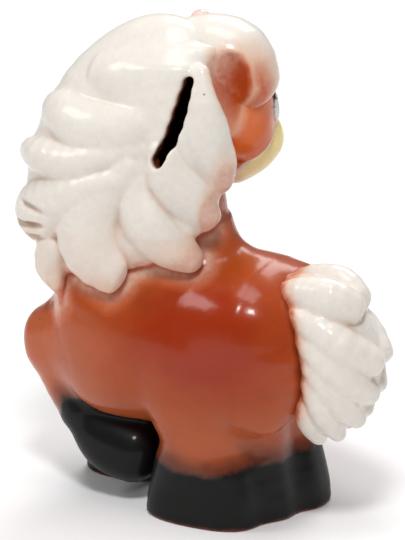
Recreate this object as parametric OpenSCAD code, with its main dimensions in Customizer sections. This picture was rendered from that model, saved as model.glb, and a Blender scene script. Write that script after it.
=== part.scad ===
// Pony coin bank in red clay: hollow trunk, neck, head and mane, with four legs,
// a tail and a rubber stopper under the belly. Millimetres, +Z up.
// +X is the way the chest points, +Y is the pony's own left.

/* [Clay] */
// wall thickness of the hollow body
wall = 5; // [4:0.5:7]
// gap left by the slip between two luted pieces
lute = 0.12; // [0.05:0.01:0.2]

/* [Coin slot] */
// length of the slot
slot_len = 40; // [32:1:48]
// width of the slot
slot_w = 6; // [5.5:0.25:7]
// lean of the slot away from vertical, towards the rump
slot_lean = 15; // [0:1:40]

/* [Stopper] */
// diameter of the hole in the belly
hole_d = 25; // [22:0.5:27]
// radial clearance between stopper and hole
stopper_gap = 0.3; // [0.05:0.05:0.5]
// diameter of the stopper's flange
flange_d = 29; // [27:0.5:30]
// thickness of the stopper's flange
flange_t = 2.6; // [2:0.2:4]
// length of the plug above the flange
plug_len = 11; // [8:0.5:14]

/* [Body] */
// half width of the trunk
trunk_hw = 38; // [34:0.5:42]
// half height of the trunk
trunk_hh = 45; // [40:0.5:48]
// radius of the back of the head
skull_r = 28.5; // [25:0.5:31]
// radius of the muzzle
muzzle_r = 15.5; // [13:0.5:18]

/* [Hooves] */
// half length of a standing hoof
hoof_hl = 25; // [22:0.5:28]
// half width of a standing hoof
hoof_hw = 15.5; // [13:0.5:17]
// height of a standing hoof
hoof_h = 27; // [22:1:32]

/* [Hidden] */
// the bounding box's bottom centre becomes the origin
shift = [3.7, 2.55, 0];
clay = "#8e3f1f";
pale = "#efe6dc";
dark = "#2a2825";

function unit(v) = v / norm(v);
function at(p) = [p[0], p[1], p[2]];
// Catmull-Rom spline through the stations b and c
function spline(a, b, c, d, t) =
  0.5 * (2 * b + (c - a) * t + (2 * a - 5 * b + 4 * c - d) * t * t
  + (3 * b - a - 3 * c + d) * t * t * t);
function dense(s, k) = [
  for (i = [0 : len(s) - 2], j = [0 : k - 1])
    spline(s[max(i - 1, 0)], s[i], s[i + 1], s[min(i + 2, len(s) - 1)], j / k),
  s[len(s) - 1]
];
function along(p, i) = unit(at(p[min(i + 1, len(p) - 1)]) - at(p[max(i - 1, 0)]));
function pw(v, e) = sign(v) * pow(abs(v), 2 / e);
// one ring of n points: centre c, tangent t, half sizes ra and rb
function ring(c, t, ref, ra, rb, e, n) =
  let (s = unit(cross(ref, t)), m = cross(t, s))
  [for (q = [0 : n - 1]) c + s * ra * pw(cos(360 * q / n), e) + m * rb * pw(sin(360 * q / n), e)];

// A closed rounded form along stations [x, y, z, half width, half depth].
// ref is across the half depth; cap0 and cap1 are the lengths of the round ends.
module pod(s, ref, cap0, cap1, grow = 0, e = 2, k = 3, n = 28) {
  p = dense(s, k);
  l = len(p) - 1;
  t0 = along(p, 0);
  t1 = along(p, l);
  lat = [60, 30];
  rings = concat(
    [for (a = lat) ring(at(p[0]) - t0 * (cap0 + grow) * sin(a), t0, ref,
      (p[0][3] + grow) * cos(a), (p[0][4] + grow) * cos(a), e, n)],
    [for (i = [0 : l]) ring(at(p[i]), along(p, i), ref, p[i][3] + grow, p[i][4] + grow, e, n)],
    [for (a = [30, 60]) ring(at(p[l]) + t1 * (cap1 + grow) * sin(a), t1, ref,
      (p[l][3] + grow) * cos(a), (p[l][4] + grow) * cos(a), e, n)]
  );
  m = len(rings);
  pts = concat([at(p[0]) - t0 * (cap0 + grow)], [for (r = rings) each r], [at(p[l]) + t1 * (cap1 + grow)]);
  top = 1 + m * n;
  faces = concat(
    [for (q = [0 : n - 1]) [0, 1 + q, 1 + (q + 1) % n]],
    [for (i = [0 : m - 2], q = [0 : n - 1]) [1 + i * n + q, 1 + (i + 1) * n + (q + 1) % n, 1 + i * n + (q + 1) % n]],
    [for (i = [0 : m - 2], q = [0 : n - 1]) [1 + i * n + q, 1 + (i + 1) * n + q, 1 + (i + 1) * n + (q + 1) % n]],
    [for (q = [0 : n - 1]) [top, 1 + (m - 1) * n + (q + 1) % n, 1 + (m - 1) * n + q]]
  );
  polyhedron(points = pts, faces = faces, convexity = 4);
}

// the half of space on one side of the mould's parting plane, with half the gap
module side_of(s) {
  translate([-150, s > 0 ? -lute / 2 : -200 + lute / 2, -50]) cube([300, 200, 350]);
}

ahead = [1, 0, 0];
up = [0, 0, 1];
barrel = [[-32, 0, 88, trunk_hw - 6, trunk_hh - 10], [-12, 0, 81, trunk_hw - 1, trunk_hh - 1],
  [10, 0, 78, trunk_hw, trunk_hh], [32, 0, 79, trunk_hw - 1, trunk_hh - 2],
  [47, 0, 82, trunk_hw - 5, trunk_hh - 7]];
neck = [[33, 0, 98, 27, 34], [20, 0, 124, 24, 35], [16, -2, 148, 22, 23]];
haunch = [[-28, 14, 94, 23, 28], [-26, 16, 76, 22, 33], [-20, 18, 60, 18, 29]];
shoulder = [[38, 14, 98, 19, 21], [40, 17, 78, 19, 22], [36, 18, 62, 15, 21]];
// hollow of the trunk, the neck and the crown, one wall inside the outer forms
hollow_low = [[-30, 0, 86, trunk_hw - 6 - wall, trunk_hh - 12 - wall],
  [-12, 0, 81, trunk_hw - 2 - wall, trunk_hh - 2 - wall], [10, 0, 79, trunk_hw - wall, trunk_hh - 1 - wall],
  [32, 0, 80, trunk_hw - 2 - wall, trunk_hh - 4 - wall], [45, 0, 84, trunk_hw - 7 - wall, trunk_hh - 10 - wall]];
hollow_neck = [[29, 0, 98, 20, 27], [20, 1, 126, 18, 26], [18, 2, 152, 18, 22], [17, 2, 180, 20, 24], [17, 0, 200, 17, 22]];
hollow_mane = [[48, 14, 122, 12, 17], [47, 13, 138, 20, 30], [43, 10, 163, 24, 36], [33, 4, 188, 21, 31],
  [22, -2, 202, 16, 23]];
hollow_head = [[10, -6, 188, 20, 20], [3, -17, 186, 20.5, 20], [-1, -26, 177, 14, 14]];
hollow_tail = [[-48, 0, 104, 5, 6], [-58, 0, 102, 9, 9], [-69, 0, 90, 12, 12], [-72, 0, 75, 11, 11], [-68, 0, 62, 7, 7]];

module mirrored_haunch(g) {
  pod(haunch, ahead, 20, 20, g);
  translate([-6, 0, 0]) mirror([0, 1, 0]) pod(haunch, ahead, 20, 20, g);
}
module trunk_form(g) {
  pod(barrel, up, 19, 19, g, 2, 3, 32);
  mirrored_haunch(g);
  pod(shoulder, ahead, 18, 17, g, 2, 2, 28);
  mirror([0, 1, 0]) pod(shoulder, ahead, 18, 17, g, 2, 2, 28);
  pod(neck, ahead, 10, 12, g);
}
module hollow_form() {
  pod(hollow_low, up, 14, 13, 0, 2, 2, 24);
  pod(hollow_neck, ahead, 8, 16, 0, 2, 2, 24);
  pod(hollow_mane, ahead, 8, 15, 0, 2, 2, 24);
  pod(hollow_head, up, 10, 8, 0, 2, 2, 24);
}

// mane: one mass from the crown to the shoulder and the raised locks on it
mane_mass = [[50, 15, 115, 17, 23], [48, 13, 137, 26, 35], [44, 10, 163, 29, 41],
  [33, 4, 188, 27, 37], [22, -2, 206, 22, 29]];
locks_left = [
  [[-4, 16, 219, 7, 6], [20, 17, 213, 12, 8], [32, 18, 207, 12, 8], [41, 12, 206, 8, 6]],
  [[2, 22, 197, 7, 6], [27, 27, 187, 12, 8], [45, 27, 186, 12, 8], [64, 13, 183, 7, 5]],
  [[16, 28, 177, 6, 5], [40, 35, 166, 9, 8], [66, 30, 163, 9, 8], [84, 16, 162, 5, 4]],
  [[24, 34, 161, 6, 5], [46, 35, 151, 11, 8], [68, 29, 137, 13, 8], [80, 17, 131, 8, 6]],
  [[22, 34, 164, 7, 5], [37, 36, 145, 12, 8], [41, 38, 128, 13, 8], [30, 37, 116, 9, 6]],
  [[16, 31, 165, 6, 5], [18, 32, 147, 10, 8], [8, 30, 131, 10, 7], [-5, 26, 122, 7, 5]],
  [[4, 28, 175, 6, 5], [1, 26, 158, 10, 7], [-9, 18, 142, 7, 5]],
  [[-7, 12, 208, 8, 7], [-10, 13, 186, 12, 9], [-12, 10, 163, 9, 7]]
];
nape = [[15, 12, 205, 13, 24], [14, 14, 188, 14, 27], [14, 14, 166, 15, 27], [14, 13, 142, 14, 24]];
locks_right = [
  [[11, -19, 211, 11, 7], [24, -19, 206, 12, 8], [36, -14, 205, 8, 6]],
  [[18, -18, 185, 12, 8], [36, -18, 183, 12, 8], [60, -12, 181, 7, 5]],
  [[24, -16, 167, 9, 7], [46, -16, 162, 10, 8], [72, -10, 160, 6, 5]],
  [[30, -8, 153, 10, 7], [52, -10, 142, 12, 8], [70, -6, 130, 8, 6]]
];
module mane_form(g) {
  pod(mane_mass, ahead, 12, 21, g, 2, 3, 32);
  difference() {
    pod(nape, ahead, 10, 10, g, 2, 2, 28);
    side_of(-1);
  }
  for (s = locks_left) pod(s, [0, 1, 0.001], 4, 3, g, 2, 2, 14);
  for (s = locks_right) pod(s, [0, 1, 0.001], 4, 3, g, 2, 2, 14);
}

skull = [[11, -7, 189, skull_r - 1.5, skull_r - 2], [4, -17, 186, skull_r - 1.5, skull_r - 2],
  [-1, -26, 177, skull_r - 6, skull_r - 7]];
muzzle = [[-2, -30, 173, 15, 15], [-5, -35, 165, muzzle_r + 0.5, muzzle_r], [-6, -36, 157, muzzle_r - 0.5, muzzle_r - 1.5]];
module head_form(g) {
  pod(skull, up, 18, 12, g, 2, 3, 28);
  pod(muzzle, up, 7, 8, g, 2, 3, 24);
}

module slot_cut() {
  translate([1, 8, 190]) rotate([0, -slot_lean, 0])
    hull() for (z = [-1, 1]) translate([0, 0, z * (slot_len - slot_w) / 2])
      rotate([-90, 0, 0]) cylinder(d = slot_w, h = 45, $fn = 24);
}

// the stopper's axis leans out square to the belly
hole_at = [10.5, -14, 35.4];
hole_tilt = 25;
module on_hole() { translate(hole_at) rotate([-hole_tilt, 0, 0]) children(); }

module shell_cuts() {
  difference() {
    hollow_form();
    on_hole() translate([0, 0, -10]) cylinder(d = hole_d + 12, h = 20.5, $fn = 48);
  }
  on_hole() translate([0, 0, -20]) cylinder(d = hole_d, h = 50, $fn = 64);
  on_hole() translate([0, 0, -20]) cylinder(d = flange_d + 3, h = 20, $fn = 64);
  slot_cut();
}

module trunk_left() {
  color(clay) translate(shift) resize([0, 0, 0]) difference() {
    trunk_form(0);
    side_of(-1);
    shell_cuts();
    mane_form(lute);
    head_form(lute);
  }
}
module trunk_right() {
  color(clay) translate(shift) resize([0, 0, 0]) difference() {
    trunk_form(0);
    side_of(1);
    shell_cuts();
    mane_form(lute);
    head_form(lute);
  }
}
module mane_left() {
  color(pale) translate(shift) resize([0, 0, 0]) difference() {
    union() {
      mane_form(0);
      head_form(0);
    }
    side_of(-1);
    shell_cuts();
  }
}
module mane_right() {
  color(pale) translate(shift) resize([0, 0, 0]) difference() {
    mane_form(0);
    side_of(1);
    shell_cuts();
    head_form(lute);
  }
}
module head() {
  color(clay) translate(shift) resize([0, 0, 0]) difference() {
    head_form(0);
    side_of(1);
    shell_cuts();
  }
}

// forelock: falls over the brow towards the rump
fringe = [[17, -7, 212, 12, 11], [3, -13, 214, 15, 14], [-8, -18, 209, 16, 16], [-12, -19, 199, 14, 15]];
module forelock_form(g) {
  difference() {
    pod(fringe, [1, -1, 0.3], 7, 10, g, 2, 3, 24);
    translate([-16, -5, 184.5 - g]) rotate([-26, 14, 0]) translate([-60, -70, -60]) cube([120, 120, 60]);
  }
}
module forelock() {
  color(pale) translate(shift) resize([0, 0, 0]) difference() {
    forelock_form(0);
    mane_form(lute);
    head_form(lute);
    ear_form(ear_left_at, lute);
    ear_form(ear_right_at, lute);
  }
}

// ears: cupped leaves, each given as [place, turn, lean]
ear_left_at = [[12, -24, 200], -123, 6];
ear_right_at = [[-18, -4, 188], 118, -4];
module ear_form(a, g) {
  translate(a[0]) rotate([0, 0, a[1]]) rotate([-a[2], 0, 0])
    pod([[0, 0, 0, 8, 7], [0, 0, 10, 11, 8], [1, 0, 23, 6, 5]], [1, 0, 0.001], 6, 6, g, 2, 2, 18);
}
module ear(a) {
  difference() {
    ear_form(a, 0);
    translate(a[0]) rotate([0, 0, a[1]]) rotate([-a[2], 0, 0])
      pod([[7.5, 0, 2, 5, 4.5], [8, 0, 10, 7.5, 5.5], [6.5, 0, 22, 4, 3.5]], [1, 0, 0.001], 2, 3, 0, 2, 2, 14);
  }
}
module free_ear(a) {
  color(clay) translate(shift) resize([0, 0, 0]) difference() {
    ear(a);
    mane_form(lute);
    head_form(lute);
  }
}
module ear_left() { free_ear(ear_left_at); }
module ear_right() { free_ear(ear_right_at); }

// tail: thick at the dock, folded down behind the haunches
tail_mass = [[-44, 0, 106, 9, 10], [-56, 0, 103, 14, 13], [-70, 0, 91, 17, 17],
  [-73, 0, 75, 17, 16], [-68, 0, 59, 13, 12], [-64, 0, 49, 8, 7]];
module tail() {
  color(pale) translate(shift) resize([0, 0, 0]) difference() {
    union() {
      pod(tail_mass, [1, 0, -1], 8, 4, 0, 2, 3, 24);
      // the far side's locks are a little flatter and lie a little further forward
      for (s = [[1, 0], [-0.87, 1.5]]) {
        y = s[0];
        pod([[s[1] - 46, 7 * y, 108, 7, 5], [s[1] - 60, 9 * y, 111, 10, 8], [s[1] - 72, 8 * y, 111, 10, 8],
          [s[1] - 81, 5 * y, 109, 7, 6]], [0, 1, 0.001], 4, 3, 0, 2, 2, 14);
        pod([[s[1] - 50, 9 * y, 104, 5, 5], [s[1] - 63, 14 * y, 100, 9, 8], [s[1] - 79, 13 * y, 91, 9, 8],
          [s[1] - 90, 6 * y, 83, 6, 6]], [0, 1, 0.001], 4, 3, 0, 2, 2, 14);
        pod([[s[1] - 56, 11 * y, 94, 5, 5], [s[1] - 68, 15 * y, 82, 9, 8], [s[1] - 79, 13 * y, 69, 9, 8],
          [s[1] - 85, 6 * y, 59, 5, 5]], [0, 1, 0.001], 4, 3, 0, 2, 2, 14);
        pod([[s[1] - 60, 8 * y, 81, 5, 5], [s[1] - 66, 13 * y, 68, 8, 7], [s[1] - 70, 12 * y, 55, 8, 7],
          [s[1] - 71, 8 * y, 46, 4, 4]], [0, 1, 0.001], 4, 3, 0, 2, 2, 14);
      }
    }
    pod(hollow_tail, [1, 0, -1], 8, 6, 0, 2, 2, 20);
    trunk_form(lute);
  }
}

// a standing hoof of half length hl and half width hw, and the leg above it, at [x, y], leaning by dx
module leg_block(at_xy, dx, top, r_leg, hl, hw) {
  x = at_xy[0];
  y = at_xy[1];
  difference() {
    union() {
      pod([[x, y, 2, hw, hl], [x, y, hoof_h * 0.5, hw - 0.3, hl - 0.5],
        [x + dx * 0.3, y, hoof_h, hw - 1, hl - 3]], ahead, 6, 5, 0, 2.6, 3, 28);
      pod([[x + dx * 0.3, y, 18, hw - 1.5, r_leg], [x + dx * 0.6, y, 36, hw - 2, r_leg + 0.5],
        [x + dx, y, top, hw - 2, r_leg + 2]], ahead, 4, 6, 0, 2.3, 3, 28);
    }
    translate([-150, -150, -60]) cube([300, 300, 60]);
  }
}
// the same, hollowed from its top
module standing_leg(at_xy, dx, top, r_leg, hl, hw) {
  difference() {
    leg_block(at_xy, dx, top, r_leg, hl, hw);
    pod([[at_xy[0], at_xy[1], 14, hw - 7, hl - 9], [at_xy[0] + dx, at_xy[1], top + 12, hw - 7, r_leg - 5]],
      ahead, 5, 4, 0, 2, 2, 20);
  }
}
hind_left_at = [-12, 18];
hind_right_at = [-28, -17.5];
fore_right_at = [46, -15];
module hind_leg_left() {
  color(dark) translate(shift) resize([0, 0, 0]) difference() {
    standing_leg(hind_left_at, 1, 60, 20, hoof_hl + 1.5, hoof_hw + 2);
    side_of(-1);
    trunk_form(lute);
  }
}
module hind_leg_right() {
  color(dark) translate(shift) resize([0, 0, 0]) difference() {
    standing_leg(hind_right_at, 2, 60, 20, hoof_hl + 1, hoof_hw + 2);
    side_of(1);
    trunk_form(lute);
    // room for the stopper to come out
    on_hole() translate([0, 0, -40]) cylinder(d = flange_d + 2, h = 40, $fn = 64);
  }
}
module foreleg_right() {
  color(dark) translate(shift) resize([0, 0, 0]) difference() {
    standing_leg(fore_right_at, 1, 70, 15, hoof_hl - 6, hoof_hw);
    trunk_form(lute);
  }
}
// the raised foreleg: arm forward to the knee, then back and down to the hoof
module foreleg_left() {
  color(dark) translate(shift) resize([0, 0, 0]) difference() {
    union() {
      pod([[46, 18, 72, 15, 20], [60, 16, 73, 15, 19], [71, 13, 70, 14, 15]], up, 8, 11, 0, 2, 3, 24);
      pod([[68, 13, 66, 13.5, 14], [60, 13, 51, 12.5, 14], [52, 14, 40, 13, 13]], ahead, 9, 5, 0, 2, 3, 24);
      pod([[51, 14, 38, 13, 10], [45, 14, 31, 15, 12], [37, 14, 26, 16, 15.5], [26, 14, 23, 15.5, 15]],
        up, 6, 9, 0, 2.3, 3, 28);
    }
    leg_block(hind_left_at, 1, 60, 20 + lute, hoof_hl + 1.5 + lute, hoof_hw + 2 + lute);
    leg_block(fore_right_at, 1, 70, 15 + lute, hoof_hl - 6 + lute, hoof_hw + lute);
    trunk_form(lute);
  }
}

module stopper() {
  r = hole_d / 2 - stopper_gap;
  color("#26221f") translate(shift) on_hole() {
    translate([0, 0, -flange_t - 0.1]) cylinder(d = flange_d, h = flange_t, $fn = 64);
    translate([0, 0, -0.2]) cylinder(r = r, h = plug_len, $fn = 64);
    translate([0, 0, plug_len - 0.3]) cylinder(r1 = r, r2 = r - 1.6, h = 2, $fn = 64);
  }
}

trunk_left();
trunk_right();
mane_left();
mane_right();
head();
forelock();
ear_left();
ear_right();
tail();
foreleg_left();
foreleg_right();
hind_leg_left();
hind_leg_right();
stopper();
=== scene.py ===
"""Painted red-clay pony coin bank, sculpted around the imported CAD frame.

Every clay piece is modelled as a signed distance field in millimetres, meshed, painted through vertex
colours and given a varnished paint material. +X is the chest, +Y the pony's left, +Z up.
"""
import math

import bmesh
import bpy
import numpy as np
import openvdb
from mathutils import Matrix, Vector


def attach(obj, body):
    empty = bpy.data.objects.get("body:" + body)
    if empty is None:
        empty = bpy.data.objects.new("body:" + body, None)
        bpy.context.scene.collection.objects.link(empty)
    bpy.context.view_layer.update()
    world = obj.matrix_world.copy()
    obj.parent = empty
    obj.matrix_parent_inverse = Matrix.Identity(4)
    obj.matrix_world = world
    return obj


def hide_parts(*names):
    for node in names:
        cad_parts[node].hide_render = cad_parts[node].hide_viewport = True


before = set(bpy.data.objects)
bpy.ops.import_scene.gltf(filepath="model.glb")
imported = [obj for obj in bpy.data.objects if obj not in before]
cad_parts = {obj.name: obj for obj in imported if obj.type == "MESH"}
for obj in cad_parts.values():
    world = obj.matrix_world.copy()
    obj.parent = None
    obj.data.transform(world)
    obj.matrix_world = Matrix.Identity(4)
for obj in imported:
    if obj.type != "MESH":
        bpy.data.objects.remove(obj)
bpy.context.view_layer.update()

# The sculpt is laid out in the same millimetres as part.scad, and shifted the same way.
SHIFT = np.array([3.7, 2.55, 0.0])
FAR = 12.0           # the largest distance that a field holds
GRID = 0.75          # grid steps of the fields: the body's pieces, the head's, the ears'
HEAD_GRID = 0.7
EAR_GRID = 0.5
WHOLE_GRID = 1.5
PARTING_Y = 0.0      # the mould's parting plane
AHEAD = (1, 0, 0)
UP = (0, 0, 1)
LEFT = (0, 1, 0.001)


# ---------------------------------------------------------------- fields
def unit(v):
    v = np.asarray(v, float)
    return v / max(np.linalg.norm(v), 1e-9)


def smin(a, b, k):
    """Smooth union of two distances; k is how far the blend reaches, in mm."""
    if k <= 0:
        return np.minimum(a, b)
    h = np.maximum(k - np.abs(a - b), 0) / k
    return np.minimum(a, b) - h * h * k * 0.25


def smax(a, b, k):
    return -smin(-a, -b, k)


def step(lo, hi, x):
    t = np.clip((x - lo) / (hi - lo), 0, 1)
    return t * t * (3 - 2 * t)


def spline(s, k):
    """Catmull-Rom stations: k steps between each two of the rows of s."""
    s = np.asarray(s, float)
    out = []
    for i in range(len(s) - 1):
        a, b, c, d = s[max(i - 1, 0)], s[i], s[i + 1], s[min(i + 2, len(s) - 1)]
        for j in range(k):
            t = j / k
            out.append(0.5 * (2 * b + (c - a) * t + (2 * a - 5 * b + 4 * c - d) * t * t
                              + (3 * b - a - 3 * c + d) * t ** 3))
    out.append(s[-1])
    return np.array(out)


class Field:
    """Distances on a grid of step h over the box lo..hi, all in mm. Negative is clay."""

    def __init__(self, lo, hi, h=GRID):
        self.h = h
        self.lo = np.floor(np.array(lo, float) / h) * h
        n = np.ceil((np.array(hi, float) - self.lo) / h).astype(int) + 1
        self.d = np.full(n, FAR, np.float32)

    def window(self, lo, hi):
        a = np.clip(np.floor((np.array(lo) - self.lo) / self.h).astype(int), 0, self.d.shape)
        b = np.clip(np.ceil((np.array(hi) - self.lo) / self.h).astype(int) + 1, 0, self.d.shape)
        cut = tuple(slice(int(p), int(q)) for p, q in zip(a, b))
        axes = []
        for i in range(3):
            shape = [1, 1, 1]
            shape[i] = -1
            axes.append((self.lo[i] + self.h * np.arange(a[i], b[i])).astype(np.float32).reshape(shape))
        return cut, axes

    def whole(self):
        return self.window(self.lo, self.lo + self.h * (np.array(self.d.shape) - 1))[1]

    def pod(self, stations, ref, blend=0.0, caps=(6, 6), roll=0.0, k=3, cut=False, p=2, reach=8.0, level=False):
        """Adds (or cuts) a rounded form along stations of x, y, z, half width and half depth.

        The width lies across ref, roll turns the section, p above 2 squares it, k is the number of steps
        between stations, and level keeps every section flat.
        """
        s = spline(stations, k)
        acc = []
        for i in range(len(s) - 1):
            a, b = s[i], s[i + 1]
            tan = np.array([0, 0, 1.0]) if level else unit(b[:3] - a[:3])
            side = unit(np.cross(ref, tan))
            up = np.cross(tan, side)
            if roll:
                c, q = math.cos(math.radians(roll)), math.sin(math.radians(roll))
                side, up = side * c + up * q, up * c - side * q
            big = max(a[3], a[4], b[3], b[4], caps[0] if i == 0 else 0, caps[1] if i == len(s) - 2 else 0)
            margin = big * (1.25 if p > 2 else 1) + max(reach, blend + 2)
            box, (x, y, z) = self.window(np.minimum(a[:3], b[:3]) - margin, np.maximum(a[:3], b[:3]) + margin)
            if 0 in self.d[box].shape:
                continue
            length = b[2] - a[2] if level else np.linalg.norm(b[:3] - a[:3])
            w = (x - a[0]) * tan[0] + (y - a[1]) * tan[1] + (z - a[2]) * tan[2]
            u = (x - a[0]) * side[0] + (y - a[1]) * side[1] + (z - a[2]) * side[2]
            v = (x - a[0]) * up[0] + (y - a[1]) * up[1] + (z - a[2]) * up[2]
            t = np.clip(w / length, 0, 1)
            if level:
                x, y = x - (b[0] - a[0]) * t, y - (b[1] - a[1]) * t
                u = (x - a[0]) * side[0] + (y - a[1]) * side[1]
                v = (x - a[0]) * up[0] + (y - a[1]) * up[1]
            ra = a[3] + (b[3] - a[3]) * t
            rb = a[4] + (b[4] - a[4]) * t
            over = w - t * length
            first, last = i == 0, i == len(s) - 2
            rw = np.where(over < 0, caps[0] if first else min(a[3], a[4]), caps[1] if last else min(b[3], b[4]))
            u, v, over = np.abs(u) / ra, np.abs(v) / rb, np.abs(over) / rw
            k0 = (u ** p + v ** p + over ** p) ** (1 / p)
            slope = np.sqrt((u ** (p - 1) / ra) ** 2 + (v ** (p - 1) / rb) ** 2 + (over ** (p - 1) / rw) ** 2)
            small = np.minimum(np.minimum(ra, rb), rw)
            dist = np.where(k0 < 0.25, (k0 - 1) * small, k0 ** (p - 1) * (k0 - 1) / np.maximum(slope, 1e-6))
            acc.append((box, dist.astype(np.float32)))
        lo = np.min([[q.start for q in c] for c, _ in acc], axis=0)
        hi = np.max([[q.stop for q in c] for c, _ in acc], axis=0)
        # one pod's own segments join without a crease
        joined = np.full(hi - lo, FAR, np.float32)
        for c, dist in acc:
            w = tuple(slice(q.start - l, q.stop - l) for q, l in zip(c, lo))
            joined[w] = smin(joined[w], dist, 1.0)
        w = tuple(slice(int(l), int(m)) for l, m in zip(lo, hi))
        self.d[w] = smax(self.d[w], -joined, blend) if cut else smin(self.d[w], joined, blend)
        return self

    def soften(self, times=1):
        """A light blur, so that creases are as soft as in fired and varnished clay."""
        for _ in range(times):
            for ax in range(3):
                f = np.moveaxis(self.d, ax, 0)
                f[1:-1] = 0.25 * f[:-2] + 0.5 * f[1:-1] + 0.25 * f[2:]
        return self

    def like(self, distances):
        """A field on this one's grid, with other distances."""
        other = Field(self.lo, self.lo, self.h)
        other.lo, other.d = self.lo, distances
        return other

    def sample(self, points):
        """Trilinear value at points in mm; the nearest edge value outside."""
        q = (np.asarray(points) - self.lo) / self.h
        q = np.clip(q, 0, np.array(self.d.shape) - 1.001)
        i = q.astype(int)
        f = (q - i).astype(np.float32)
        out = np.zeros(len(points), np.float32)
        for dx in (0, 1):
            for dy in (0, 1):
                for dz in (0, 1):
                    wgt = (f[:, 0] if dx else 1 - f[:, 0]) * (f[:, 1] if dy else 1 - f[:, 1]) * \
                        (f[:, 2] if dz else 1 - f[:, 2])
                    out += wgt * self.d[i[:, 0] + dx, i[:, 1] + dy, i[:, 2] + dz]
        return out

    def of(self, other):
        """The other field's distances on this field's grid; FAR where the other has none."""
        out = np.full(self.d.shape, FAR, np.float32)
        if abs(other.h - self.h) > 1e-6:
            x, y, z = self.whole()
            grid = np.stack([g.ravel() for g in np.broadcast_arrays(x, y, z)], axis=1)
            inside = np.all((grid > other.lo) & (grid < other.lo + other.h * (np.array(other.d.shape) - 1)), axis=1)
            flat = out.ravel()
            flat[inside] = other.sample(grid[inside])
            return flat.reshape(out.shape)
        off = np.rint((other.lo - self.lo) / self.h).astype(int)
        a = np.maximum(off, 0)
        b = np.minimum(off + other.d.shape, self.d.shape)
        if (b > a).all():
            out[tuple(slice(p, q) for p, q in zip(a, b))] = \
                other.d[tuple(slice(p - o, q - o) for p, q, o in zip(a, b, off))]
        return out


def mesh_field(name, field):
    """Quads of the zero surface, as a Blender mesh in metres in the row frame."""
    grid = openvdb.FloatGrid(FAR)
    grid.copyFromArray(np.ascontiguousarray(field.d, dtype=np.float32))
    points, quads = grid.convertToQuads()
    points = (points * field.h + field.lo + SHIFT) / 1000
    mesh = bpy.data.meshes.new(name)
    mesh.vertices.add(len(points))
    mesh.vertices.foreach_set("co", points.astype(np.float32).ravel())
    mesh.loops.add(len(quads) * 4)
    mesh.loops.foreach_set("vertex_index", quads[:, ::-1].astype(np.int32).ravel())
    mesh.polygons.add(len(quads))
    mesh.polygons.foreach_set("loop_start", np.arange(len(quads), dtype=np.int32) * 4)
    mesh.polygons.foreach_set("use_smooth", np.ones(len(quads), bool))
    mesh.update(calc_edges=True)
    return mesh


def halves(mesh, left, right):
    """Cuts a closed mesh at the mould's parting plane into two closed meshes."""
    out = []
    for name, sign in ((left, 1), (right, -1)):
        bm = bmesh.new()
        bm.from_mesh(mesh)
        cut = bmesh.ops.bisect_plane(bm, geom=bm.verts[:] + bm.edges[:] + bm.faces[:], dist=1e-7,
                                     plane_co=(0, (PARTING_Y + SHIFT[1]) / 1000, 0), plane_no=(0, sign, 0),
                                     clear_inner=True)
        rim = [e for e in cut["geom_cut"] if isinstance(e, bmesh.types.BMEdge)]
        for e in rim:
            e.smooth = False
        caps = bmesh.ops.triangle_fill(bm, edges=rim, use_beauty=True, normal=(0, -sign, 0))
        for f in caps["geom"]:
            if isinstance(f, bmesh.types.BMFace):
                f.smooth = False
        half = bpy.data.meshes.new(name)
        bm.to_mesh(half)
        bm.free()
        out.append(half)
    return out


# ---------------------------------------------------------------- the forms
# Stations are x, y, z, half width (across the reference), half depth.
def mirrored(stations, dx=0.0):
    return [(x + dx, -y, z, a, b) for x, y, z, a, b in stations]


BARREL = [(-30, 0, 87, 33, 36), (-12, 0, 81, 37, 43), (10, 0, 79, 38, 44), (30, 0, 80, 36, 42), (44, 0, 84, 31, 35)]
HAUNCH = [(-29, 14, 95, 23, 28), (-28, 16, 77, 22, 34), (-22, 18, 62, 18, 31)]
STIFLE = [(-8, 22, 80, 13, 19), (0, 24, 62, 12, 15), (0, 24, 50, 11, 12)]
SHOULDER = [(38, 14, 98, 19, 21), (40, 17, 78, 19, 22), (36, 18, 62, 16, 22)]
NECK = [(33, 0, 100, 26, 33), (20, 0, 124, 24, 34), (16, -2, 148, 22, 22), (14, -4, 166, 20, 16)]


def trunk_outside():
    f = Field((-80, -48, 24), (80, 48, 190))
    f.pod(BARREL, UP, 0, caps=(24, 18))
    for side in (1, -1):
        f.pod(HAUNCH if side > 0 else mirrored(HAUNCH, -8), AHEAD, 9, caps=(20, 13))
        f.pod(STIFLE if side > 0 else mirrored(STIFLE, -8), AHEAD, 7, caps=(12, 11))
        f.pod(SHOULDER if side > 0 else mirrored(SHOULDER), AHEAD, 14, caps=(18, 18))
    f.pod(NECK, AHEAD, 16, caps=(10, 12))
    return f


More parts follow.
